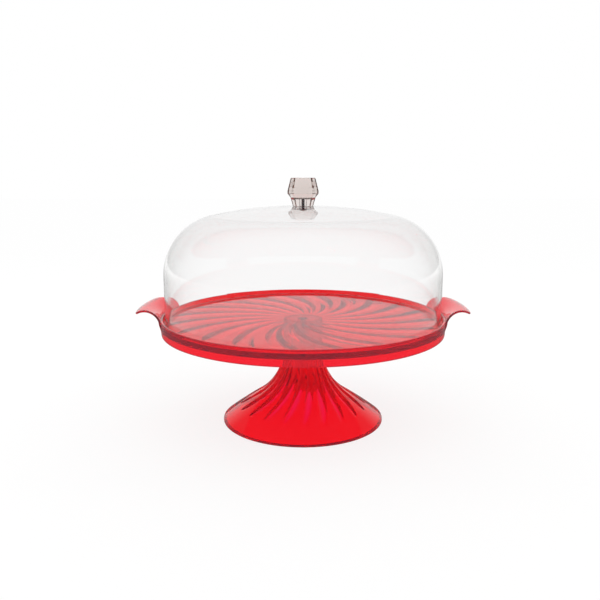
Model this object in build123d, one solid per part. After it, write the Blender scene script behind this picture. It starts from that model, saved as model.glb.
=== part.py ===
from build123d import *
import math
import os

# A cake stand with a lift-off dome, in millimetres. It stands on z = 0, its axis is Z,
# and its two curled handles point along X.

# Dome: a thin clear shell that stands on the tray's floor
dome_radius = 150.3
dome_height = 122.9
dome_wall = 2.6
crown_radius = 500.0
shoulder_radius = 64.0
dome_edge_chamfer = 0.6

# Tray: a floor inside a raised rim, with a short skirt below
rim_height = 120.0
well_depth = 4.4
floor_thickness = 5.0
skirt_drop = 7.5
seat_clearance = 1.0
rim_flare = 1.3
rim_wall = 3.4
skirt_taper = 1.5
skirt_wall = 3.0
rim_chamfer = 0.8
skirt_chamfer = 0.6

# Handles: sheets that curl up and out of the rim
handle_rise = 10.2
handle_reach = 25.0
handle_thickness = 2.2
curl_radius = 14.1
handle_root_half = 46.0
handle_root_drop = 12.5
handle_end_half = 34.0
handle_corner = 9.0
handle_root_flare = 10.0
handle_sweep = 25.0
handle_facets = 8

# Flutes: shallow grooves that swirl in one direction over pedestal and tray. Stations are the
# parts of a flute's length where its section is drawn.
flute_count = 20
flute_lift = 0.4
flute_facets = 4
flute_stations = (0.006, 0.08, 0.35, 0.65, 0.92, 0.994)
tray_flute_start = 27.0
tray_flute_margin = 4.0
tray_flute_twist = 33.0
tray_flute_fill = 0.64
tray_flute_depth = 1.7
tray_flute_phase = 0.0
collar_height = 4.0
pedestal_flute_twist = 29.0
pedestal_flute_depth = 1.5
pedestal_flute_widest = 5.0
pedestal_flute_fill = 0.72
pedestal_flute_margin = 22.0

# Pedestal: a hollow trumpet with a web inside its neck
neck_radius = 21.5
flare_top = 83.0
flare_radius = 64.0
flare_angle = 57.0
foot_radius = 89.6
foot_edge = 1.8
foot_land = 4.8
pedestal_wall = 3.2
web_thickness = 3.5
flare_facets = 7
skirt_facets = 4

# Joint between tray and pedestal
boss_radius = 6.0
boss_length = 10.0
spigot_length = 3.0
spigot_wall = 1.8
spigot_clearance = 0.25

# Knob: twelve facets, waisted towards the dome
knob_facets = 12
knob_base_radius = 10.9
knob_waist_radius = 13.5
knob_belt_radius = 16.6
knob_top_radius = 13.3
knob_waist_height = 9.2
knob_belt_low = 13.0
knob_belt_high = 16.0
knob_height = 29.8
knob_seat_margin = 0.5
knob_top_chamfer = 0.7

# Fasteners: pan-head screws with a washer each
screw_radius = 2.0
screw_hole_clearance = 0.3
head_radius = 4.0
head_height = 2.8
head_chamfer = 0.9
recess_width = 1.1
recess_length = 4.6
recess_depth = 1.5
washer_radius = 6.0
washer_thickness = 1.0
knob_screw_grip = 9.0
pedestal_screw_grip = 12.5
pilot_end_gap = 0.6

# Heights and radii that follow from the sizes above
floor_top = rim_height - well_depth
floor_under = floor_top - floor_thickness
skirt_bottom = floor_under - skirt_drop
seat_radius = dome_radius + seat_clearance
rim_radius = seat_radius + rim_flare + rim_wall
dome_top = floor_top + dome_height
web_top = floor_under - boss_length
web_under = web_top - web_thickness
neck_bore = neck_radius - pedestal_wall


def revolved(profile):
    """Turns a face drawn in the XZ plane once round the Z axis."""
    return revolve(profile, Axis.Z)


def standing_cylinder(radius, length):
    """A cylinder that stands on its own origin."""
    return Cylinder(radius, length, align=(Align.CENTER, Align.CENTER, Align.MIN))


def hanging_cylinder(radius, length):
    """A cylinder that hangs from the underside of the tray's floor."""
    drop = (Align.CENTER, Align.CENTER, Align.MAX)
    return Pos(0, 0, floor_under) * Cylinder(radius, length, align=drop)


def faceted(curve, count):
    """A curve as equal chords, so that what is turned from it stays light."""
    return Polyline(*[curve @ (n / count) for n in range(count + 1)])


def ring_of(cutter, count, phase=0.0):
    """Copies a cutter evenly round the Z axis."""
    return [Rot(0, 0, phase + 360.0 * n / count) * cutter for n in range(count)]


def polar(radius, angle, height):
    """A point from its radius, its angle in degrees and its height."""
    turn = math.radians(angle)
    return Vector(radius * math.cos(turn), radius * math.sin(turn), height)


def flute_section(centre, travel, outward, half_width, depth):
    """A scoop that dips into the surface, in a few chords of one arc, and stands a little proud."""
    arc = ThreePointArc((flute_lift, -half_width), (-depth, 0), (flute_lift, half_width))
    section = make_face([faceted(arc, flute_facets), Line(arc @ 1, arc @ 0)])
    return Plane(origin=centre, x_dir=outward, z_dir=travel) * section


def flute_swell(part):
    """How full a flute is along its length: round at both ends and even between them."""
    return math.sqrt(1 - abs(2 * part - 1) ** 6)


def flute_cutter(line, outward, half_width, depth):
    """Lofts a groove along a line; every argument is a function of the part travelled."""
    step = 1e-3
    sections = []
    for part in flute_stations:
        travel = line(part + step) - line(part - step)
        swell = flute_swell(part)
        sections.append(
            flute_section(line(part), travel, outward(part), swell * half_width(part), swell * depth)
        )
    return loft(sections)


def rim_and_floor():
    """The turned part of the tray: floor, rim and skirt in one section."""
    skirt_foot = rim_radius - skirt_taper
    outline = Polyline(
        (0, floor_under),
        (skirt_foot - skirt_wall, floor_under),
        (skirt_foot - skirt_wall, skirt_bottom),
        (skirt_foot, skirt_bottom),
        (rim_radius, rim_height),
        (seat_radius + rim_flare, rim_height),
        (seat_radius, floor_top),
        (0, floor_top),
        close=True,
    )
    corners = make_face(outline).vertices().sort_by(Axis.Y)
    section = chamfer(corners[-2:], rim_chamfer)
    section = chamfer(section.vertices().sort_by(Axis.Y)[:2], skirt_chamfer)
    return revolved(Plane.XZ * section)


def handle():
    """The handle on the +X side: an arched sheet, trimmed in plan and in front view."""
    tip_angle = math.degrees(math.acos((handle_reach - curl_radius) / curl_radius))
    centre = (rim_radius + curl_radius, rim_height + handle_rise - curl_radius)
    over, under = [
        faceted(CenterArc(centre, radius, tip_angle, 180 - tip_angle), handle_facets)
        for radius in (curl_radius + handle_thickness / 2, curl_radius - handle_thickness / 2)
    ]
    sheet = make_face([over, Line(over @ 1, under @ 1), under, Line(under @ 0, over @ 0)])
    buried = rim_radius - rim_wall / 2
    root_bottom = rim_height - handle_root_drop
    root = make_face(
        Polyline(
            (buried, centre[1]),
            (rim_radius + handle_thickness / 2, centre[1]),
            (buried, root_bottom),
            close=True,
        )
    )
    start = Plane.XZ.rotated((0, 0, -handle_sweep))
    arched = revolve(start * (sheet + root), Axis.Z, revolution_arc=2 * handle_sweep)

    tip = rim_radius + handle_reach
    shoulder = rim_radius + handle_thickness / 2
    wide = 2 * handle_root_half
    plan = make_face(
        Polyline(
            (0, -wide),
            (shoulder, -wide),
            (shoulder, -handle_root_half),
            (tip, -handle_end_half),
            (tip, handle_end_half),
            (shoulder, handle_root_half),
            (shoulder, wide),
            (0, wide),
            close=True,
        )
    )
    plan = plan & Circle(tip)
    plan = fillet(plan.vertices().sort_by(Axis.X)[-2:], handle_corner)
    above = rim_height + 2 * handle_rise

    flare_centre = (-handle_root_half - handle_root_flare, root_bottom + handle_root_flare)
    left = CenterArc(flare_centre, handle_root_flare, -90, 90)
    right = mirror(left, Plane.YZ)
    front = make_face(
        [
            left,
            Polyline(left @ 1, (-handle_root_half, above), (handle_root_half, above), right @ 1),
            right,
            Line(right @ 0, left @ 0),
        ]
    )
    plan_prism = Pos(0, 0, skirt_bottom) * extrude(plan, above - skirt_bottom)
    front_prism = extrude(Plane.YZ * front, 2 * tip)
    return arched & plan_prism & front_prism


def tray_flute():
    """One groove under the floor, from near the boss out towards the rim."""
    end = rim_radius - skirt_taper - skirt_wall - tray_flute_margin

    def radius(part):
        return tray_flute_start + (end - tray_flute_start) * part

    def line(part):
        return polar(radius(part), tray_flute_twist * part, floor_under)

    def half_width(part):
        return tray_flute_fill * math.pi * radius(part) / flute_count

    return flute_cutter(line, lambda part: Vector(0, 0, -1), half_width, tray_flute_depth)


def tray():
    handles = ring_of(handle(), 2)
    body = rim_and_floor()
    inside = Cylinder(seat_radius, 3 * rim_height)
    body = body + [one - inside for one in handles]
    body = body - ring_of(tray_flute(), flute_count, tray_flute_phase)
    spigot_radius = neck_bore - spigot_clearance
    spigot = hanging_cylinder(spigot_radius, spigot_length)
    spigot = spigot - hanging_cylinder(spigot_radius - spigot_wall, spigot_length)
    boss = hanging_cylinder(boss_radius, boss_length)
    pilot = Pos(0, 0, web_top) * standing_cylinder(screw_radius, pedestal_screw_grip + pilot_end_gap)
    return body + spigot + boss - pilot


def trumpet_lines():
    """Neck, flare and skirt of the pedestal's outside, from the top down, in the XZ plane."""
    neck = Line((neck_radius, floor_under), (neck_radius, flare_top))
    flare = CenterArc((neck_radius + flare_radius, flare_top), flare_radius, 180, flare_angle)
    skirt = TangentArc(flare @ 1, (foot_radius, foot_edge), tangent=flare % 1)
    return [neck, flare, skirt]


def trumpet_at(distance):
    """Point and direction on the pedestal's outside, this far from the top."""
    lines = trumpet_lines()
    for line in lines[:-1]:
        if distance < line.length:
            return line @ (distance / line.length), line % (distance / line.length)
        distance -= line.length
    skirt = lines[-1]
    return skirt @ (distance / skirt.length), skirt % (distance / skirt.length)


def pedestal_flute():
    """One groove down the neck and out over the skirt, round at its lower end."""
    total = sum(line.length for line in trumpet_lines())
    travelled = total - collar_height - pedestal_flute_margin

    def line(part):
        point = trumpet_at(collar_height + travelled * part)[0]
        return polar(point.X, pedestal_flute_twist * (1 - part), point.Y)

    def outward(part):
        direction = trumpet_at(collar_height + travelled * part)[1]
        return polar(-direction.Y, pedestal_flute_twist * (1 - part), direction.X)

    def half_width(part):
        radius = trumpet_at(collar_height + travelled * part)[0].X
        return min(pedestal_flute_fill * math.pi * radius / flute_count, pedestal_flute_widest)

    return flute_cutter(line, outward, half_width, pedestal_flute_depth)


def pedestal():
    neck, flare, skirt = trumpet_lines()
    flare_centre = (neck_radius + flare_radius, flare_top)
    inner_flare = CenterArc(flare_centre, flare_radius + pedestal_wall, 180, flare_angle)
    inner_skirt = TangentArc(inner_flare @ 1, (foot_radius - foot_land, 0), tangent=inner_flare % 1)
    section = make_face(
        [
            neck,
            faceted(flare, flare_facets),
            faceted(skirt, skirt_facets),
            Polyline(skirt @ 1, (foot_radius, 0), inner_skirt @ 1),
            faceted(inner_skirt, skirt_facets),
            faceted(inner_flare, flare_facets),
            Polyline(
                inner_flare @ 0,
                (neck_bore, web_under),
                (0, web_under),
                (0, web_top),
                (neck_bore, web_top),
                (neck_bore, floor_under),
                neck @ 0,
            ),
        ]
    )
    body = revolved(Plane.XZ * section)
    body = body - ring_of(pedestal_flute(), flute_count)
    hole = Pos(0, 0, web_under) * Cylinder(screw_radius + screw_hole_clearance, 3 * web_thickness)
    return body - hole


def dome_form(wall):
    """The dome as a solid, this far inside its outer skin: crown, rounded shoulder and straight wall."""
    seat = knob_base_radius + knob_seat_margin
    crown_centre = dome_top - math.sqrt(crown_radius**2 - seat**2)
    offset = dome_radius - shoulder_radius
    reach = crown_radius - shoulder_radius
    shoulder_centre = crown_centre + math.sqrt(reach**2 - offset**2)
    lean = math.degrees(math.acos(offset / reach))
    shoulder = CenterArc((offset, shoulder_centre), shoulder_radius - wall, 0, lean)
    join = (shoulder @ 1).X
    top = dome_top - wall
    side = Polyline(
        shoulder @ 0, (dome_radius - wall, floor_top), (0, floor_top), (0, top), (join, top), shoulder @ 1
    )
    ball = Rot(90, 0, 0) * Sphere(crown_radius - wall)
    return revolved(Plane.XZ * make_face([shoulder, side])) & Pos(0, 0, crown_centre) * ball


def dome():
    """A thin shell, open below, with a flat seat and a screw hole for the knob."""
    shell = dome_form(0) - dome_form(dome_wall)
    shell = chamfer(shell.edges().group_by(Axis.Z)[0], dome_edge_chamfer)
    return shell - Pos(0, 0, dome_top) * Cylinder(screw_radius + screw_hole_clearance, 4 * dome_wall)


def knob():
    """A faceted, waisted knob, with a flat facet towards the front."""
    outline = [
        (knob_base_radius, 0),
        (knob_waist_radius, knob_waist_height),
        (knob_belt_radius, knob_belt_low),
        (knob_belt_radius, knob_belt_high),
        (knob_top_radius, knob_height - knob_top_chamfer),
        (knob_top_radius - knob_top_chamfer, knob_height),
    ]
    half_turn = 180.0 / knob_facets
    to_corner = 1 / math.cos(math.radians(half_turn))
    rings = [
        [polar(radius * to_corner, half_turn * (2 * n + 1), height) for n in range(knob_facets)]
        for radius, height in outline
    ]
    facets = [make_face(Polyline(*ring, close=True)) for ring in (rings[0], rings[-1])]
    for low, high in zip(rings, rings[1:]):
        for n in range(knob_facets):
            corners = (low[n - 1], low[n], high[n], high[n - 1])
            facets.append(make_face(Polyline(*corners, close=True)))
    body = Solid(Shell(facets))
    pilot = standing_cylinder(screw_radius, knob_screw_grip + pilot_end_gap)
    return Pos(0, 0, dome_top) * (body - pilot)


def screw(length):
    """A pan-head screw pointing up, with the bearing face of its head at the origin."""
    head = Pos(0, 0, -head_height) * standing_cylinder(head_radius, head_height)
    head = chamfer(head.faces().sort_by(Axis.Z)[0].edges(), head_chamfer)
    slot = Pos(0, 0, -head_height) * Box(recess_length, recess_width, 2 * recess_depth)
    cross = slot + Rot(0, 0, 90) * slot
    return head + standing_cylinder(screw_radius, length) - cross


def washer():
    """A flat washer that stands on its own origin."""
    ring = standing_cylinder(washer_radius, washer_thickness)
    return ring - standing_cylinder(screw_radius + screw_hole_clearance, washer_thickness)


def parts():
    knob_stack = dome_top - dome_wall - washer_thickness
    pedestal_stack = web_under - washer_thickness
    knob_screw_length = washer_thickness + dome_wall + knob_screw_grip
    pedestal_screw_length = washer_thickness + web_thickness + pedestal_screw_grip
    return {
        "tray": tray(),
        "pedestal": pedestal(),
        "pedestal_screw": Pos(0, 0, pedestal_stack) * screw(pedestal_screw_length),
        "pedestal_washer": Pos(0, 0, pedestal_stack) * washer(),
        "dome": dome(),
        "knob": knob(),
        "knob_screw": Pos(0, 0, knob_stack) * screw(knob_screw_length),
        "knob_washer": Pos(0, 0, knob_stack) * washer(),
    }


os.makedirs("parts", exist_ok=True)
for name, solid in parts().items():
    solid.label = name
    export_step(solid, f"parts/{name}.step")
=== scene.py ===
import math

import bmesh
import bpy
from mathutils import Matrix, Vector


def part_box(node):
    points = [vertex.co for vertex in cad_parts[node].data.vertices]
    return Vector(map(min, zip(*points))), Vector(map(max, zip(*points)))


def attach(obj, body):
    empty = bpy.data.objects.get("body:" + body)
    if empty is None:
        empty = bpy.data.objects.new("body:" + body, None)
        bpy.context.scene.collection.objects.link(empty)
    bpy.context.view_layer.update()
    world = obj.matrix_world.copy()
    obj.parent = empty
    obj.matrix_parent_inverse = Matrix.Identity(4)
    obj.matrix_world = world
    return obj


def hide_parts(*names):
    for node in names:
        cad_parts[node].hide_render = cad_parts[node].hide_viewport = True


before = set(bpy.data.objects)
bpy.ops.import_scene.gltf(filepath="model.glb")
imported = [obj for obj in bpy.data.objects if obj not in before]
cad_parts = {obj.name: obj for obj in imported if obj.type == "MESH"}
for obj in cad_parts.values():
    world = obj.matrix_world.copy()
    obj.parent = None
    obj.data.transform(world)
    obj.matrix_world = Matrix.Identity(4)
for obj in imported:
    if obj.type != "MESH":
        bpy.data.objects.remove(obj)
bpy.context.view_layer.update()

# A clear red cake stand with a clear dome, on a white floor in soft light. Lengths are in metres.
MM = 0.001

# Camera: where the photograph was taken from, for a frame of 600 x 600 pixels
FRAME_SIZE = 600
FOCAL_PIXELS = 676.1
SENSOR_WIDTH = 36.0
CAMERA_DISTANCE = 0.7343
CAMERA_HEIGHT = 0.2762
CAMERA_PITCH = math.radians(10.87)
AXIS_OFFSET_PIXELS = 3.0
CAMERA_SIGHT = 50

# Sizes as in the CAD model, apart from softened edges, the threads and pedestal flutes 0.5 mm deeper
# Dome
DOME_WALL = 2.6 * MM
CROWN_RADIUS = 500 * MM
SHOULDER_RADIUS = 64 * MM
DOME_EDGE_ROUND = 0.8 * MM

# Tray
FLOOR_TOP = 115.6 * MM
FLOOR_UNDER = 110.6 * MM
SKIRT_BOTTOM = 103.1 * MM
RIM_HEIGHT = 120 * MM
SEAT_RADIUS = 151.3 * MM
RIM_FLARE = 1.3 * MM
RIM_WALL = 3.4 * MM
SKIRT_TAPER = 1.5 * MM
SKIRT_WALL = 3.0 * MM
RIM_ROUND = 1.2 * MM
SKIRT_ROUND = 1.0 * MM
WELL_ROUND = 1.0 * MM

# Handles, thinned at the tip to no less than this share of their thickness
HANDLE_RISE = 10.2 * MM
HANDLE_REACH = 25 * MM
HANDLE_THICKNESS = 2.2 * MM
CURL_RADIUS = 14.1 * MM
HANDLE_ROOT_HALF = 46 * MM
HANDLE_ROOT_DROP = 12.5 * MM
HANDLE_END_HALF = 34 * MM
HANDLE_CORNER = 9 * MM
HANDLE_ROOT_FLARE = 10 * MM
HANDLE_ROOT_BITE = 1.25 * HANDLE_THICKNESS
HANDLE_TIP_LEAST = 0.1

# Flutes of the tray's underside and the pedestal
FLUTES = 20
FLUTE_BLUNTNESS = 6
FLUTE_EDGE_SLOPE = 2.2
FLUTE_EDGE_START = 0.25
TRAY_FLUTE_START = 27 * MM
TRAY_FLUTE_MARGIN = 4 * MM
TRAY_FLUTE_TWIST = math.radians(33)
TRAY_FLUTE_FILL = 0.64
TRAY_FLUTE_DEPTH = 1.7 * MM
COLLAR_HEIGHT = 4 * MM
PEDESTAL_FLUTE_TWIST = math.radians(29)
PEDESTAL_FLUTE_DEPTH = 2.0 * MM
PEDESTAL_FLUTE_WIDEST = 5 * MM
PEDESTAL_FLUTE_FILL = 0.72
PEDESTAL_FLUTE_MARGIN = 22 * MM

# Pedestal, and the boss and spigot of the tray above it
NECK_RADIUS = 21.5 * MM
FLARE_TOP = 83 * MM
FLARE_RADIUS = 64 * MM
FLARE_ANGLE = math.radians(57)
FOOT_EDGE = 1.8 * MM
FOOT_LAND = 4.8 * MM
FOOT_ROUND_OUTSIDE = 0.8 * MM
FOOT_ROUND_UNDER = 0.5 * MM
PEDESTAL_WALL = 3.2 * MM
WEB_THICKNESS = 3.5 * MM
BOSS_RADIUS = 6 * MM
BOSS_LENGTH = 10 * MM
SPIGOT_LENGTH = 3 * MM
SPIGOT_WALL = 1.8 * MM
SPIGOT_CLEARANCE = 0.25 * MM

# Knob
KNOB_FACETS = 12
KNOB_BASE_RADIUS = 10.9 * MM
KNOB_WAIST_RADIUS = 13.5 * MM
KNOB_BELT_RADIUS = 16.6 * MM
KNOB_TOP_RADIUS = 13.3 * MM
KNOB_WAIST_HEIGHT = 9.2 * MM
KNOB_BELT_LOW = 13 * MM
KNOB_BELT_HIGH = 16 * MM
KNOB_HEIGHT = 29.8 * MM
KNOB_SEAT_MARGIN = 0.5 * MM
KNOB_TOP_CHAMFER = 0.7 * MM
KNOB_EDGE_ROUND = 0.35 * MM
KNOB_CORNER_CUT = 0.12 * KNOB_EDGE_ROUND

# Screws and washers
SCREW_RADIUS = 2 * MM
SCREW_HOLE_RADIUS = 2.3 * MM
THREAD_BITE = 0.2 * MM
THREAD_PITCH = 0.7 * MM
THREAD_DEPTH = 0.35 * MM
HEAD_RADIUS = 4 * MM
HEAD_HEIGHT = 2.8 * MM
RECESS_RADIUS = 2.2 * MM
RECESS_DEPTH = 1.5 * MM
PILOT_RADIUS = SCREW_RADIUS - THREAD_BITE
WASHER_RADIUS = 6 * MM
WASHER_THICKNESS = 1 * MM
WASHER_ROUND = 0.15 * MM
KNOB_SCREW_GRIP = 9 * MM
PEDESTAL_SCREW_GRIP = 12.5 * MM
PILOT_END_GAP = 0.6 * MM

# Shares of a screw's sizes: the head's upright side and crown, the recess's arms, middle and slope, the point
HEAD_SIDE = 0.55
HEAD_CROWN = 0.45
RECESS_ARM = 0.55
RECESS_MIDDLE = 0.3
RECESS_SLOPE = 0.6
SCREW_POINT = 0.6

# Clear pieces that touch are drawn this far apart, so that light sees both faces
CONTACT_GAP = 0.05 * MM

# The floor reaches this far, and the eye sees this share of its white whatever falls on it
FLOOR_REACH = 6.0
FLOOR_GLOW = 0.8

# How bright it is in front and behind: the room in reflections, the room for light turned back inside
# clear pieces, and the floor in reflections
GLOSS = (0.15, 1.0)
THROUGH = (0.2, 0.76)
FLOOR_GLOSS = (0.15, 1.0)

# Where the front ends and the back begins: in the room from -1 to 1, on the floor in metres
GLOSS_PLACE = (0.6, 0.98)
THROUGH_PLACE = (-0.3, 0.8)
FLOOR_GLOSS_PLACE = (0.2, 2.0)

# Two tall soft lights beside the stand
SOFTBOX_DISTANCE = 1.2
SOFTBOX_BEHIND = 0.1
SOFTBOX_LEVEL = 0.5
SOFTBOX_AIM = 0.12
SOFTBOX_WIDTH = 0.3
SOFTBOX_HEIGHT = 1.0
SOFTBOX_POWER = 2.5
LIGHT_BOUNCES = 32
MIRROR_BOUNCES = 16

# Fine relief of the surfaces
RIPPLE_DEPTH = 0.4 * MM
GRAIN_DEPTH = 0.05 * MM

# Clear acrylic. Painted shade: the dome's wall is painted grey between facing the eye, 0, and edge on, 1, in
# place of the grey a thin clear wall shows edge on. The painted grey is full where the wall stands steeper
# than the first slope and gone where it lies flatter than the second.
ACRYLIC_IOR = 1.49
EDGE_SHADE_START = 0.5
EDGE_SHADE_MIDDLE = 0.8
UPRIGHT_SLOPE = 0.35
LEVEL_SLOPE = 0.8

# A mix node's sockets have numbers: its factor, its two values or colours, and what comes out
MIX_FACTOR = 0
MIX_VALUES = (2, 3)
MIX_VALUE_OUT = 0
MIX_COLOURS = (6, 7)
MIX_COLOUR_OUT = 2

# How finely the pieces are drawn: columns round the axis, rings along an outline, steps round an edge
COLUMNS_PER_FLUTE = 24
COLUMNS_PER_FACET = 14
ROUND_COLUMNS = 240
SMALL_COLUMNS = 60
ROUND_STEPS = 5
SMALL_ROUND_STEPS = 3
FLOOR_RINGS = 12
TRAY_FLUTE_RINGS = 90
HANDLE_ROOT_RINGS = 14
HANDLE_CURL_RINGS = 60
HANDLE_ACROSS = 40
HANDLE_EDGE_STEPS = 6
NECK_RINGS = 30
FLARE_RINGS = 70
SKIRT_RINGS = 60
INNER_FLARE_RINGS = 40
INNER_SKIRT_RINGS = 30
CROWN_RINGS = 24
SCREW_HEAD_RINGS = 10
RINGS_PER_THREAD = 8
SHARP_ANGLE = math.radians(24)
KNOB_SHARP_ANGLE = math.radians(9)

# Points nearer than this are one point
SAME_POINT = 1e-7

DOME_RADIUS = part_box("dome")[1].y
DOME_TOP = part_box("dome")[1].z
RIM_RADIUS = SEAT_RADIUS + RIM_FLARE + RIM_WALL
FOOT_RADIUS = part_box("pedestal")[1].y
NECK_BORE = NECK_RADIUS - PEDESTAL_WALL
WEB_TOP = FLOOR_UNDER - BOSS_LENGTH
WEB_UNDER = WEB_TOP - WEB_THICKNESS
SKIRT_INSIDE = RIM_RADIUS - SKIRT_TAPER - SKIRT_WALL
TRAY_FLUTE_END = SKIRT_INSIDE - TRAY_FLUTE_MARGIN
FLOOR_RINGS_END = SEAT_RADIUS - 2 * WELL_ROUND


def make_camera():
    """Stands where the photograph was taken from."""
    data = bpy.data.cameras.new("camera")
    data.sensor_width = SENSOR_WIDTH
    data.lens = SENSOR_WIDTH * FOCAL_PIXELS / FRAME_SIZE
    data.clip_end = CAMERA_SIGHT
    camera = bpy.data.objects.new("camera", data)
    bpy.context.scene.collection.objects.link(camera)
    sideways = AXIS_OFFSET_PIXELS * CAMERA_DISTANCE / FOCAL_PIXELS
    camera.location = (-sideways, -CAMERA_DISTANCE, CAMERA_HEIGHT)
    camera.rotation_euler = (math.pi / 2 - CAMERA_PITCH, 0, 0)
    bpy.context.scene.camera = camera


def arc(centre, radius, start, end, count):
    """Points on an arc in the (radius, height) plane, both ends included."""
    angles = [start + (end - start) * n / count for n in range(count + 1)]
    return [(centre[0] + radius * math.cos(a), centre[1] + radius * math.sin(a)) for a in angles]


def span(start, end, count):
    """Points along a straight line, both ends included."""
    return [
        (start[0] + (end[0] - start[0]) * n / count, start[1] + (end[1] - start[1]) * n / count)
        for n in range(count + 1)
    ]


def turned_spoke(centre, spoke, turn, count):
    """Points that a spoke from a centre reaches as it turns, both ends included."""
    points = []
    for n in range(count + 1):
        a = turn * n / count
        x = spoke.x * math.cos(a) - spoke.y * math.sin(a)
        y = spoke.x * math.sin(a) + spoke.y * math.cos(a)
        points.append((centre.x + x, centre.y + y))
    return points


def rounded(before, corner, after, radius, count=ROUND_STEPS):
    """The points of a fillet at a corner between its two neighbours."""
    here = Vector(corner)
    back, ahead = (Vector(before) - here).normalized(), (Vector(after) - here).normalized()
    half = back.angle(ahead) / 2
    centre = here + (back + ahead).normalized() * (radius / math.sin(half))
    first = here + back * (radius / math.tan(half)) - centre
    last = here + ahead * (radius / math.tan(half)) - centre
    return turned_spoke(centre, first, -first.angle_signed(last), count)


def tangent_arc(start, direction, end, count):
    """An arc that leaves start along direction and reaches end."""
    start, direction, end = Vector(start), Vector(direction).normalized(), Vector(end)
    chord = end - start
    normal = Vector((-direction.y, direction.x))
    radius = chord.length_squared / (2 * normal.dot(chord))
    centre = start + normal * radius
    first, last = start - centre, end - centre
    return turned_spoke(centre, first, -first.angle_signed(last), count)


def joined(*runs):
    """One outline from several runs of points, without repeats."""
    outline = []
    for run in runs:
        for point in run:
            if not outline or math.dist(outline[-1], point) > SAME_POINT:
                outline.append(point)
    return outline


def mesh_object(name, vertices, faces, sharp=SHARP_ANGLE):
    """An object with smooth faces, and sharp edges where they meet at more than an angle."""
    mesh = bpy.data.meshes.new(name)
    mesh.from_pydata(vertices, [], faces)
    work = bmesh.new()
    work.from_mesh(mesh)
    bmesh.ops.recalc_face_normals(work, faces=work.faces)
    work.to_mesh(mesh)
    work.free()
    mesh.polygons.foreach_set("use_smooth", [True] * len(mesh.polygons))
    mesh.set_sharp_from_angle(angle=sharp)
    piece = bpy.data.objects.new(name, mesh)
    bpy.context.scene.collection.objects.link(piece)
    return piece


def lathe(name, outline, columns, shape=None, sharp=SHARP_ANGLE):
    """Turns an outline of (radius, height) points round Z. Its ends meet each other, or lie on the axis.

    shape(n, radius, height, angle) gives a column's own angle, radius and height for point n.
    """
    vertices, rings = [], []
    on_axis = outline[0][0] < SAME_POINT
    for n, (radius, height) in enumerate(outline):
        if radius < SAME_POINT:
            rings.append([len(vertices)])
            vertices.append((0.0, 0.0, height))
            continue
        ring = []
        for column in range(columns):
            angle, r, z = 2 * math.pi * column / columns, radius, height
            if shape:
                angle, r, z = shape(n, radius, height, angle)
            ring.append(len(vertices))
            vertices.append((r * math.cos(angle), r * math.sin(angle), z))
        rings.append(ring)
    if not on_axis:
        rings.append(rings[0])
    faces = []
    for low, high in zip(rings, rings[1:]):
        for k in range(columns):
            after = k + 1
            quad = [low[k % len(low)], low[after % len(low)], high[after % len(high)], high[k % len(high)]]
            face = list(dict.fromkeys(quad))
            if len(face) > 2:
                faces.append(face)
    return mesh_object(name, vertices, faces, sharp)


def clamped(value):
    """Keeps a value between 0 and 1."""
    return min(max(value, 0.0), 1.0)


def smooth_step(value):
    """Eases a value from 0 to 1, level at both ends."""
    value = clamped(value)
    return value * value * (3 - 2 * value)


def flute_depth(part, across, depth):
    """Depth of a scooped flute at a part of its length and of its half-width across it."""
    if not 0 < part < 1:
        return 0.0
    swell = math.sqrt(1 - abs(2 * part - 1) ** FLUTE_BLUNTNESS)
    if abs(across) >= swell:
        return 0.0
    bowl = 1 - (across / swell) ** 2
    return depth * swell * bowl * smooth_step(FLUTE_EDGE_SLOPE * bowl + FLUTE_EDGE_START)


def flute_across(column, columns, fill):
    """Where a column lies across its flute: 0 in the middle, 1 at the flute's edge."""
    phase = (column * FLUTES / columns) % 1.0
    return (phase - round(phase)) * 2 / fill


def tray_outline():
    """The tray's cut, from the floor's middle over the rim and skirt and back to the screw's pilot hole."""
    skirt_foot = (RIM_RADIUS - SKIRT_TAPER, SKIRT_BOTTOM)
    rim_out = (RIM_RADIUS, RIM_HEIGHT)
    rim_in = (SEAT_RADIUS + RIM_FLARE, RIM_HEIGHT)
    well = (SEAT_RADIUS, FLOOR_TOP)
    skirt_in = (SKIRT_INSIDE, SKIRT_BOTTOM)
    skirt_root = (SKIRT_INSIDE, FLOOR_UNDER)
    spigot = NECK_BORE - SPIGOT_CLEARANCE
    spigot_foot = FLOOR_UNDER - SPIGOT_LENGTH
    pilot_top = WEB_TOP + PEDESTAL_SCREW_GRIP + PILOT_END_GAP
    return joined(
        span((0, FLOOR_TOP), (FLOOR_RINGS_END, FLOOR_TOP), FLOOR_RINGS),
        rounded((0, FLOOR_TOP), well, rim_in, WELL_ROUND),
        rounded(well, rim_in, rim_out, RIM_ROUND),
        rounded(rim_in, rim_out, skirt_foot, RIM_ROUND),
        rounded(rim_out, skirt_foot, skirt_in, SKIRT_ROUND),
        rounded(skirt_foot, skirt_in, skirt_root, SKIRT_ROUND),
        rounded(skirt_in, skirt_root, (0, FLOOR_UNDER), WELL_ROUND),
        span((TRAY_FLUTE_END, FLOOR_UNDER), (TRAY_FLUTE_START, FLOOR_UNDER), TRAY_FLUTE_RINGS),
        [
            (spigot, FLOOR_UNDER),
            (spigot, spigot_foot),
            (spigot - SPIGOT_WALL, spigot_foot),
            (spigot - SPIGOT_WALL, FLOOR_UNDER),
            (BOSS_RADIUS, FLOOR_UNDER),
            (BOSS_RADIUS, WEB_TOP + CONTACT_GAP),
            (PILOT_RADIUS, WEB_TOP + CONTACT_GAP),
            (PILOT_RADIUS, pilot_top),
            (0, pilot_top),
        ],
    )


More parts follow.
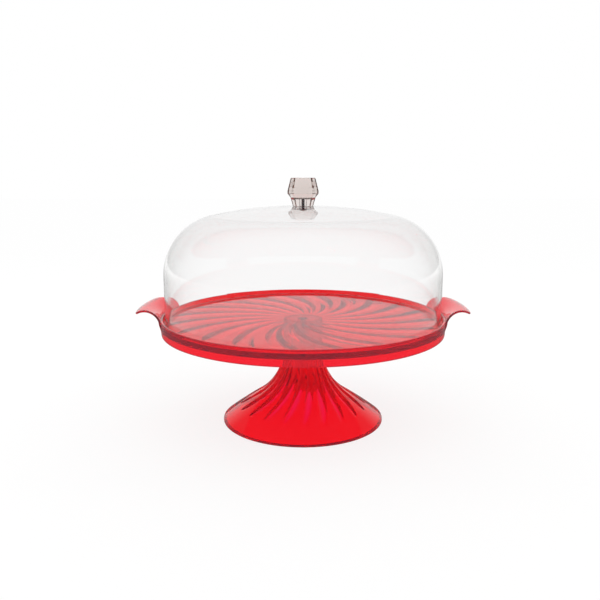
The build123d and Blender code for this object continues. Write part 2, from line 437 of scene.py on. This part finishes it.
def handle(name, turn):
    """A curled sheet with rounded edges, as a closed mesh that runs into the rim's wall."""
    centre = (RIM_RADIUS + CURL_RADIUS, RIM_HEIGHT + HANDLE_RISE - CURL_RADIUS)
    tip_angle = math.acos((HANDLE_REACH - CURL_RADIUS) / CURL_RADIUS)
    tip = RIM_RADIUS + HANDLE_REACH
    half_sheet = HANDLE_THICKNESS / 2
    root = (RIM_RADIUS - HANDLE_ROOT_BITE, RIM_HEIGHT - HANDLE_ROOT_DROP)
    curve = joined(
        span(root, (RIM_RADIUS, centre[1]), HANDLE_ROOT_RINGS),
        arc(centre, CURL_RADIUS, math.pi, tip_angle, HANDLE_CURL_RINGS),
    )
    flare_top = root[1] + HANDLE_ROOT_FLARE

    def half_width(radius, height):
        if height < flare_top and radius < RIM_RADIUS + half_sheet:
            drop = flare_top - height
            flared = HANDLE_ROOT_FLARE - math.sqrt(max(HANDLE_ROOT_FLARE**2 - drop**2, 0))
            return HANDLE_ROOT_HALF + flared
        share = clamped((radius - RIM_RADIUS) / HANDLE_REACH)
        half = HANDLE_ROOT_HALF + (HANDLE_END_HALF - HANDLE_ROOT_HALF) * share
        left = max(tip - radius, 0)
        if left < HANDLE_CORNER:
            half -= HANDLE_CORNER - math.sqrt(HANDLE_CORNER**2 - (HANDLE_CORNER - left) ** 2)
        return half

    vertices, loops = [], []
    for n, (radius, height) in enumerate(curve):
        before, after = curve[max(n - 1, 0)], curve[min(n + 1, len(curve) - 1)]
        along = (Vector(after) - Vector(before)).normalized()
        normal = Vector((-along.y, along.x))
        to_tip = max(tip - radius, 0)
        sheet = half_sheet
        if to_tip < half_sheet:
            sheet = math.sqrt(half_sheet**2 - (half_sheet - to_tip) ** 2)
            sheet = max(sheet, HANDLE_TIP_LEAST * half_sheet)
        half = half_width(radius, height) - sheet
        section = []
        for k in range(HANDLE_ACROSS + 1):
            section.append((-half + 2 * half * k / HANDLE_ACROSS, sheet))
        for k in range(1, HANDLE_EDGE_STEPS):
            a = math.pi / 2 - math.pi * k / HANDLE_EDGE_STEPS
            section.append((half + sheet * math.cos(a), sheet * math.sin(a)))
        for k in range(HANDLE_ACROSS + 1):
            section.append((half - 2 * half * k / HANDLE_ACROSS, -sheet))
        for k in range(1, HANDLE_EDGE_STEPS):
            a = -math.pi / 2 - math.pi * k / HANDLE_EDGE_STEPS
            section.append((-half + sheet * math.cos(a), sheet * math.sin(a)))
        loop = []
        for side, lift in section:
            r = min(radius + normal.x * lift, tip)
            z = height + normal.y * lift
            x = math.sqrt(max(r * r - side * side, 0))
            loop.append(len(vertices))
            vertices.append((x * turn, side * turn, z))
        loops.append(loop)
    faces = [loops[0][::-1], loops[-1]]
    for low, high in zip(loops, loops[1:]):
        count = len(low)
        faces += [[low[k], low[(k + 1) % count], high[(k + 1) % count], high[k]] for k in range(count)]
    return mesh_object(name, vertices, faces)


def united(body, *others):
    """Joins closed meshes into one closed mesh."""
    for other in others:
        modifier = body.modifiers.new("join", "BOOLEAN")
        modifier.operation = "UNION"
        modifier.solver = "MANIFOLD"
        modifier.object = other
    depsgraph = bpy.context.evaluated_depsgraph_get()
    mesh = bpy.data.meshes.new_from_object(body.evaluated_get(depsgraph))
    body.modifiers.clear()
    body.data = mesh
    for other in others:
        bpy.data.objects.remove(other)
    mesh.polygons.foreach_set("use_smooth", [True] * len(mesh.polygons))
    mesh.set_sharp_from_angle(angle=SHARP_ANGLE)
    return body


def make_tray():
    """The tray with flutes under its floor, in one piece with both handles."""
    outline = tray_outline()
    columns = FLUTES * COLUMNS_PER_FLUTE
    reach = TRAY_FLUTE_END - TRAY_FLUTE_START

    def shape(n, radius, height, angle):
        column = round(angle * columns / (2 * math.pi))
        part = (radius - TRAY_FLUTE_START) / reach
        if abs(height - FLOOR_UNDER) < SAME_POINT:
            across = flute_across(column, columns, TRAY_FLUTE_FILL)
            height += flute_depth(part, across, TRAY_FLUTE_DEPTH)
        twist = clamped(part) if abs(height - FLOOR_UNDER) < 2 * TRAY_FLUTE_DEPTH else 1
        if height < FLOOR_UNDER - SAME_POINT and radius < TRAY_FLUTE_START:
            twist = 0
        return angle + TRAY_FLUTE_TWIST * twist, radius, height

    body = lathe("tray_moulding", outline, columns, shape)
    return united(body, handle("handle_right", 1), handle("handle_left", -1))


def pedestal_lines():
    """The pedestal's outside from the neck down, then its inside from the foot up."""
    centre = (NECK_RADIUS + FLARE_RADIUS, FLARE_TOP)
    top = FLOOR_UNDER - CONTACT_GAP
    neck = span((NECK_RADIUS, top), (NECK_RADIUS, FLARE_TOP), NECK_RINGS)
    flare_end = math.pi + FLARE_ANGLE
    flare = arc(centre, FLARE_RADIUS, math.pi, flare_end, FLARE_RINGS)
    leave = (math.sin(FLARE_ANGLE), -math.cos(FLARE_ANGLE))
    skirt = tangent_arc(flare[-1], leave, (FOOT_RADIUS, FOOT_EDGE), SKIRT_RINGS)
    foot_in = (FOOT_RADIUS - FOOT_LAND, 0)
    inner_flare = arc(centre, FLARE_RADIUS + PEDESTAL_WALL, math.pi, flare_end, INNER_FLARE_RINGS)
    inner_skirt = tangent_arc(inner_flare[-1], leave, foot_in, INNER_SKIRT_RINGS)
    foot = joined(
        rounded(skirt[-2], (FOOT_RADIUS, FOOT_EDGE), (FOOT_RADIUS, 0), FOOT_ROUND_OUTSIDE),
        rounded((FOOT_RADIUS, FOOT_EDGE), (FOOT_RADIUS, 0), foot_in, FOOT_ROUND_UNDER),
    )
    inside = joined(
        inner_skirt[::-1],
        inner_flare[::-1],
        [
            (NECK_BORE, WEB_UNDER),
            (SCREW_HOLE_RADIUS, WEB_UNDER),
            (SCREW_HOLE_RADIUS, WEB_TOP),
            (NECK_BORE, WEB_TOP),
            (NECK_BORE, top),
        ],
    )
    return joined(neck, flare, skirt[:-1]), foot, inside


def make_pedestal():
    """A hollow trumpet with flutes that run out on its skirt, and a web across its neck."""
    outside, foot, inside = pedestal_lines()
    outline = joined(outside, foot, inside)
    lengths = [0.0]
    for before, after in zip(outside, outside[1:]):
        lengths.append(lengths[-1] + math.dist(before, after))
    travelled = lengths[-1] - COLLAR_HEIGHT - PEDESTAL_FLUTE_MARGIN
    columns = FLUTES * COLUMNS_PER_FLUTE
    last = len(outside) - 1

    def shape(n, radius, height, angle):
        if n > last:
            return angle, radius, height
        part = (lengths[n] - COLLAR_HEIGHT) / travelled
        column = round(angle * columns / (2 * math.pi))
        pitch_half = math.pi * radius / FLUTES
        fill = min(PEDESTAL_FLUTE_FILL, PEDESTAL_FLUTE_WIDEST / pitch_half)
        across = flute_across(column, columns, fill)
        depth = flute_depth(part, across, PEDESTAL_FLUTE_DEPTH)
        before, after = outside[max(n - 1, 0)], outside[min(n + 1, last)]
        along = (Vector(after) - Vector(before)).normalized()
        turned = angle + PEDESTAL_FLUTE_TWIST * (1 - clamped(part))
        return turned, radius + along.y * depth, height - along.x * depth

    return lathe("pedestal_moulding", outline, columns, shape)


def dome_skin(wall, count):
    """Crown and shoulder from the middle outwards, this far inside the outer skin."""
    seat = KNOB_BASE_RADIUS + KNOB_SEAT_MARGIN
    crown_centre = DOME_TOP - math.sqrt(CROWN_RADIUS**2 - seat**2)
    offset = DOME_RADIUS - SHOULDER_RADIUS
    reach = CROWN_RADIUS - SHOULDER_RADIUS
    shoulder_centre = crown_centre + math.sqrt(reach**2 - offset**2)
    lean = math.acos(offset / reach)
    rise = DOME_TOP - wall - crown_centre
    top = math.asin(rise / (CROWN_RADIUS - wall))
    return joined(
        arc((0, crown_centre), CROWN_RADIUS - wall, top, lean, count),
        arc((offset, shoulder_centre), SHOULDER_RADIUS - wall, lean, 0, 2 * count),
    )


def make_dome():
    """A thin shell with a hole for the knob's screw."""
    foot = FLOOR_TOP + CONTACT_GAP
    outer, inner = dome_skin(0, CROWN_RINGS), dome_skin(DOME_WALL, CROWN_RINGS)
    corner_out, corner_in = (DOME_RADIUS, foot), (DOME_RADIUS - DOME_WALL, foot)
    outline = joined(
        [(SCREW_HOLE_RADIUS, DOME_TOP)],
        outer,
        rounded(outer[-1], corner_out, corner_in, DOME_EDGE_ROUND),
        rounded(corner_out, corner_in, inner[-1], DOME_EDGE_ROUND),
        inner[::-1],
        [(SCREW_HOLE_RADIUS, DOME_TOP - DOME_WALL)],
    )
    return lathe("dome_shell", outline, ROUND_COLUMNS)


def make_knob():
    """Twelve flat facets round a pilot hole, with softened edges."""
    base = DOME_TOP + CONTACT_GAP
    profile = [
        (KNOB_BASE_RADIUS, base),
        (KNOB_WAIST_RADIUS, DOME_TOP + KNOB_WAIST_HEIGHT),
        (KNOB_BELT_RADIUS, DOME_TOP + KNOB_BELT_LOW),
        (KNOB_BELT_RADIUS, DOME_TOP + KNOB_BELT_HIGH),
        (KNOB_TOP_RADIUS, DOME_TOP + KNOB_HEIGHT - KNOB_TOP_CHAMFER),
        (KNOB_TOP_RADIUS - KNOB_TOP_CHAMFER, DOME_TOP + KNOB_HEIGHT),
    ]
    pilot_top = DOME_TOP + KNOB_SCREW_GRIP + PILOT_END_GAP
    pilot_hole = [(0, pilot_top), (PILOT_RADIUS, pilot_top), (PILOT_RADIUS, base)]
    whole = pilot_hole[-1:] + profile + [(0, DOME_TOP + KNOB_HEIGHT)]
    softened = [
        rounded(whole[n - 1], whole[n], whole[n + 1], KNOB_EDGE_ROUND, SMALL_ROUND_STEPS)
        for n in range(1, len(whole) - 1)
    ]
    outline = joined(pilot_hole, *softened, whole[-1:])
    columns = KNOB_FACETS * COLUMNS_PER_FACET
    corner = math.pi / KNOB_FACETS

    def shape(n, radius, height, angle):
        if radius <= PILOT_RADIUS:
            return angle, radius, height
        facing = (angle + math.pi / 2) % (2 * corner)
        facing = facing if facing < corner else facing - 2 * corner
        flat = radius / math.cos(facing)
        limit = radius / math.cos(corner) - KNOB_CORNER_CUT
        return angle, min(flat, limit), height

    return lathe("knob_facets", outline, columns, shape, sharp=KNOB_SHARP_ANGLE)


def make_screw(name, bearing, length):
    """A pan-head screw pointing up, with a cross recess below and a cut thread."""
    angles = [math.radians(90 * n / SCREW_HEAD_RINGS) for n in range(SCREW_HEAD_RINGS + 1)]
    crown = [
        (HEAD_RADIUS * math.sin(a), bearing - HEAD_HEIGHT * (HEAD_SIDE + HEAD_CROWN * math.cos(a)))
        for a in angles
    ]
    rings = int(length / THREAD_PITCH * RINGS_PER_THREAD)
    shaft = span((SCREW_RADIUS, bearing), (SCREW_RADIUS, bearing + length - THREAD_PITCH), rings)
    point = [(SCREW_RADIUS * SCREW_POINT, bearing + length), (0, bearing + length)]
    outline = joined(crown, [(HEAD_RADIUS, bearing)], shaft, point)
    first = len(outline) - len(point) - len(shaft)

    def shape(n, radius, height, angle):
        if n > first and n < len(outline) - len(point):
            turn = ((height - bearing) / THREAD_PITCH - angle / (2 * math.pi)) % 1.0
            return angle, radius - THREAD_DEPTH * abs(2 * turn - 1), height
        if n < len(crown) and radius < RECESS_RADIUS:
            arm = abs(math.sin(2 * angle))
            if arm < RECESS_ARM or radius < RECESS_MIDDLE * RECESS_RADIUS:
                height += RECESS_DEPTH * (1 - radius / RECESS_RADIUS * RECESS_SLOPE)
        return angle, radius, height

    return lathe(name, outline, SMALL_COLUMNS, shape)


def make_washer(name, foot):
    """A flat ring with softened edges, standing on this height."""
    top = foot + WASHER_THICKNESS
    corners = [
        (SCREW_HOLE_RADIUS, foot),
        (WASHER_RADIUS, foot),
        (WASHER_RADIUS, top),
        (SCREW_HOLE_RADIUS, top),
    ]
    neighbours = zip(corners[-1:] + corners[:-1], corners, corners[1:] + corners[:1])
    runs = [rounded(*three, WASHER_ROUND, SMALL_ROUND_STEPS) for three in neighbours]
    return lathe(name, joined(*runs), SMALL_COLUMNS)


def new_material(name):
    material = bpy.data.materials.new(name)
    material.use_nodes = True
    nodes = material.node_tree.nodes
    return material, nodes, material.node_tree.links, nodes["Principled BSDF"]


def add_range(nodes, links, value, start, end, low, high):
    """Turns a value from start to end into one from low to high."""
    spread = nodes.new("ShaderNodeMapRange")
    spread.inputs["From Min"].default_value = start
    spread.inputs["From Max"].default_value = end
    spread.inputs["To Min"].default_value = low
    spread.inputs["To Max"].default_value = high
    links.new(value, spread.inputs["Value"])
    return spread


def add_math(nodes, links, operation, *values):
    """A node that works on one or more linked values."""
    node = nodes.new("ShaderNodeMath")
    node.operation = operation
    for socket, value in zip(node.inputs, values):
        links.new(value, socket)
    return node


def add_noise(nodes, links, scale, detail, between=(0, 1), values=(0, 1)):
    """A noise pattern in object space: what lies between two levels of it becomes a range of values."""
    place = nodes.new("ShaderNodeTexCoord")
    noise = nodes.new("ShaderNodeTexNoise")
    noise.inputs["Scale"].default_value = scale
    noise.inputs["Detail"].default_value = detail
    links.new(place.outputs["Object"], noise.inputs["Vector"])
    return add_range(nodes, links, noise.outputs["Fac"], *between, *values).outputs["Result"]


def add_bump(nodes, links, shader, height, strength, distance):
    """Fine relief in the looks alone."""
    bump = nodes.new("ShaderNodeBump")
    bump.inputs["Strength"].default_value = strength
    bump.inputs["Distance"].default_value = distance
    links.new(height, bump.inputs["Height"])
    links.new(bump.outputs["Normal"], shader.inputs["Normal"])


def acrylic(name, tint, density, ripple, surface=(1, 1, 1), clarity=1.0):
    """Polished clear acrylic: tinted in depth, faintly rippled by its mould and lightly handled."""
    material, nodes, links, shader = new_material(name)
    shader.inputs["Base Color"].default_value = (*surface, 1)
    shader.inputs["Transmission Weight"].default_value = clarity
    shader.inputs["IOR"].default_value = ACRYLIC_IOR
    wear = add_noise(nodes, links, scale=260, detail=3, between=(0.52, 0.78), values=(0.0, 0.05))
    links.new(wear, shader.inputs["Roughness"])
    waves = add_noise(nodes, links, scale=22, detail=1)
    add_bump(nodes, links, shader, waves, strength=ripple, distance=RIPPLE_DEPTH)
    inside = nodes.new("ShaderNodeVolumeAbsorption")
    inside.inputs["Color"].default_value = (*tint, 1)
    inside.inputs["Density"].default_value = density
    links.new(inside.outputs["Volume"], nodes["Material Output"].inputs["Volume"])
    return material


def add_painted_edge_shade(material, middle, edge):
    """Painted shade: darkens the colour of an upright thin clear wall where it is seen edge on."""
    nodes, links = material.node_tree.nodes, material.node_tree.links
    weight = nodes.new("ShaderNodeLayerWeight")
    ramp = nodes.new("ShaderNodeValToRGB")
    first, last = ramp.color_ramp.elements
    first.position = EDGE_SHADE_START
    first.color = (1, 1, 1, 1)
    last.color = (*edge, 1)
    ramp.color_ramp.elements.new(EDGE_SHADE_MIDDLE).color = (*middle, 1)
    links.new(weight.outputs["Facing"], ramp.inputs["Fac"])
    place = nodes.new("ShaderNodeTexCoord")
    split = nodes.new("ShaderNodeSeparateXYZ")
    links.new(place.outputs["Normal"], split.inputs["Vector"])
    slope = add_math(nodes, links, "ABSOLUTE", split.outputs["Z"])
    upright = add_range(nodes, links, slope.outputs["Value"], UPRIGHT_SLOPE, LEVEL_SLOPE, 1, 0)
    shade = nodes.new("ShaderNodeMix")
    shade.data_type = "RGBA"
    shade.inputs[MIX_COLOURS[0]].default_value = (1, 1, 1, 1)
    links.new(upright.outputs["Result"], shade.inputs[MIX_FACTOR])
    links.new(ramp.outputs["Color"], shade.inputs[MIX_COLOURS[1]])
    links.new(shade.outputs[MIX_COLOUR_OUT], nodes["Principled BSDF"].inputs["Base Color"])


def plated_steel(name):
    """Dark plated steel with a fine grain."""
    material, nodes, links, shader = new_material(name)
    shader.inputs["Base Color"].default_value = (0.13, 0.1, 0.11, 1)
    shader.inputs["Metallic"].default_value = 1.0
    roughness = add_noise(nodes, links, scale=900, detail=4, between=(0.3, 0.7), values=(0.22, 0.42))
    links.new(roughness, shader.inputs["Roughness"])
    grain = add_noise(nodes, links, scale=2500, detail=3)
    add_bump(nodes, links, shader, grain, strength=0.15, distance=GRAIN_DEPTH)
    return material


def nylon(name):
    """Natural nylon, faintly mottled."""
    material, nodes, links, shader = new_material(name)
    shader.inputs["Roughness"].default_value = 0.45
    shader.inputs["Subsurface Weight"].default_value = 0.15
    shader.inputs["Subsurface Scale"].default_value = 0.001
    tone = add_noise(nodes, links, scale=400, detail=3, between=(0.3, 0.7))
    ramp = nodes.new("ShaderNodeValToRGB")
    ramp.color_ramp.elements[0].color = (0.72, 0.70, 0.66, 1)
    ramp.color_ramp.elements[1].color = (0.80, 0.79, 0.76, 1)
    links.new(tone, ramp.inputs["Fac"])
    links.new(ramp.outputs["Color"], shader.inputs["Base Color"])
    grain = add_noise(nodes, links, scale=1800, detail=2)
    add_bump(nodes, links, shader, grain, strength=0.2, distance=GRAIN_DEPTH)
    return material


def settle_normals(piece):
    """Keeps large faces flat beside small fillets, so that clear walls bend light as they should."""
    modifier = piece.modifiers.new("normals", "WEIGHTED_NORMAL")
    modifier.keep_sharp = True
    depsgraph = bpy.context.evaluated_depsgraph_get()
    piece.data = bpy.data.meshes.new_from_object(
        piece.evaluated_get(depsgraph), preserve_all_data_layers=True, depsgraph=depsgraph
    )
    piece.modifiers.clear()


def dress(piece, material, body, node):
    """Gives a mesh its material, hangs it on the body it rides on, and hides the CAD node it stands for."""
    settle_normals(piece)
    piece.data.materials.clear()
    piece.data.materials.append(material)
    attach(piece, body)
    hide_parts(node)


def make_pieces():
    red = acrylic(
        "clear_red_acrylic",
        tint=(0.9987, 0.04, 0.56),
        density=2600,
        ripple=0.05,
        surface=(1.0, 0.17, 0.28),
        clarity=0.9,
    )
    clear = acrylic("clear_acrylic", tint=(0.35, 0.33, 0.30), density=3, ripple=0.03)
    clear.node_tree.nodes["Principled BSDF"].inputs["Specular Tint"].default_value = (0.4, 0.4, 0.4, 1)
    # Painted shade on the dome's wall where it is seen edge on
    add_painted_edge_shade(clear, middle=(0.92, 0.92, 0.91), edge=(0.25, 0.25, 0.24))
    cut = acrylic("clear_cut_acrylic", tint=(0.55, 0.38, 0.30), density=22, ripple=0.02)
    steel = plated_steel("plated_steel")
    washers = nylon("natural_nylon")
    knob_bearing = DOME_TOP - DOME_WALL - WASHER_THICKNESS
    pedestal_bearing = WEB_UNDER - WASHER_THICKNESS
    knob_screw = make_screw("knob_screw_m4", knob_bearing, WASHER_THICKNESS + DOME_WALL + KNOB_SCREW_GRIP)
    pedestal_screw = make_screw(
        "pedestal_screw_m4", pedestal_bearing, WASHER_THICKNESS + WEB_THICKNESS + PEDESTAL_SCREW_GRIP
    )
    dress(make_tray(), red, "stand", "tray")
    dress(make_pedestal(), red, "stand", "pedestal")
    dress(pedestal_screw, steel, "stand", "pedestal_screw")
    dress(make_washer("pedestal_washer_ring", pedestal_bearing), washers, "stand", "pedestal_washer")
    dress(make_dome(), clear, "cover", "dome")
    dress(make_knob(), cut, "cover", "knob")
    dress(knob_screw, steel, "cover", "knob_screw")
    dress(make_washer("knob_washer_ring", knob_bearing), washers, "cover", "knob_washer")


def mirrored_only(nodes, links):
    """A light path node, and 1 for a ray last mirrored off a surface but 0 for any other ray."""
    path = nodes.new("ShaderNodeLightPath")
    kinds = path.outputs["Is Glossy Ray"], path.outputs["Is Transmission Ray"]
    mirrored = add_math(nodes, links, "SUBTRACT", *kinds)
    mirrored.use_clamp = True
    return path, mirrored.outputs["Value"]


def make_floor():
    """White to the eye, with a soft shadow, and dimmer in front where it is mirrored."""
    corners = [(x * FLOOR_REACH, y * FLOOR_REACH, 0) for x, y in ((-1, -1), (1, -1), (1, 1), (-1, 1))]
    floor = mesh_object("floor", corners, [[0, 1, 2, 3]])
    floor.location.z = -CONTACT_GAP
    material, nodes, links, shader = new_material("white_floor")
    shader.inputs["Base Color"].default_value = (0.97, 0.97, 0.97, 1)
    shader.inputs["Roughness"].default_value = 0.9
    shader.inputs["Specular IOR Level"].default_value = 0.0
    white = nodes.new("ShaderNodeEmission")
    path, mirrored = mirrored_only(nodes, links)
    place = nodes.new("ShaderNodeTexCoord")
    split = nodes.new("ShaderNodeSeparateXYZ")
    links.new(place.outputs["Object"], split.inputs["Vector"])
    distance = add_range(nodes, links, split.outputs["Y"], *FLOOR_GLOSS_PLACE, *FLOOR_GLOSS)
    strength = add_range(nodes, links, mirrored, 0, 1, 1, 1)
    links.new(distance.outputs["Result"], strength.inputs["To Max"])
    links.new(strength.outputs["Result"], white.inputs["Strength"])
    kinds = path.outputs["Is Glossy Ray"], path.outputs["Is Transmission Ray"]
    indirect = add_math(nodes, links, "MAXIMUM", *kinds)
    share = add_math(nodes, links, "MULTIPLY_ADD", path.outputs["Is Camera Ray"])
    share.inputs[1].default_value = FLOOR_GLOW
    links.new(indirect.outputs["Value"], share.inputs[2])
    mix = nodes.new("ShaderNodeMixShader")
    links.new(share.outputs["Value"], mix.inputs["Fac"])
    links.new(shader.outputs["BSDF"], mix.inputs[1])
    links.new(white.outputs["Emission"], mix.inputs[2])
    links.new(mix.outputs["Shader"], nodes["Material Output"].inputs["Surface"])
    floor.data.materials.append(material)


def make_world():
    """White to the eye and straight through clear pieces, with a dimmer front for mirrored light."""
    world = bpy.data.worlds.new("studio")
    bpy.context.scene.world = world
    world.use_nodes = True
    nodes, links = world.node_tree.nodes, world.node_tree.links
    background = nodes["Background"]
    background.inputs["Color"].default_value = (1, 1, 1, 1)
    place = nodes.new("ShaderNodeTexCoord")
    split = nodes.new("ShaderNodeSeparateXYZ")
    links.new(place.outputs["Generated"], split.inputs["Vector"])

    def front_to_back(limits, brightness):
        return add_range(nodes, links, split.outputs["Y"], *limits, *brightness).outputs["Result"]

    path, mirrored = mirrored_only(nodes, links)
    kinds = path.outputs["Is Transmission Ray"], path.outputs["Glossy Depth"]
    turned_back = add_math(nodes, links, "MINIMUM", *kinds)
    through = nodes.new("ShaderNodeMix")
    links.new(turned_back.outputs["Value"], through.inputs[MIX_FACTOR])
    through.inputs[MIX_VALUES[0]].default_value = 1.0
    links.new(front_to_back(THROUGH_PLACE, THROUGH), through.inputs[MIX_VALUES[1]])
    strength = nodes.new("ShaderNodeMix")
    links.new(mirrored, strength.inputs[MIX_FACTOR])
    links.new(through.outputs[MIX_VALUE_OUT], strength.inputs[MIX_VALUES[0]])
    links.new(front_to_back(GLOSS_PLACE, GLOSS), strength.inputs[MIX_VALUES[1]])
    links.new(strength.outputs[MIX_VALUE_OUT], background.inputs["Strength"])


def softbox(name, side):
    """A tall soft light on one side, which lights the pieces but isn't seen in them."""
    data = bpy.data.lights.new(name, "AREA")
    data.shape = "RECTANGLE"
    data.size = SOFTBOX_WIDTH
    data.size_y = SOFTBOX_HEIGHT
    data.energy = SOFTBOX_POWER
    light = bpy.data.objects.new(name, data)
    bpy.context.scene.collection.objects.link(light)
    place = Vector((side * SOFTBOX_DISTANCE, SOFTBOX_BEHIND, SOFTBOX_LEVEL))
    light.location = place
    light.rotation_euler = (Vector((0, 0, SOFTBOX_AIM)) - place).to_track_quat("-Z", "Y").to_euler()
    light.visible_camera = False
    light.visible_transmission = False
    light.visible_glossy = False


make_camera()
make_pieces()
make_floor()
make_world()
softbox("left_softbox", -1)
softbox("right_softbox", 1)

scene = bpy.context.scene
scene.view_settings.view_transform = "Standard"
scene.cycles.max_bounces = LIGHT_BOUNCES
scene.cycles.transmission_bounces = LIGHT_BOUNCES
scene.cycles.glossy_bounces = MIRROR_BOUNCES
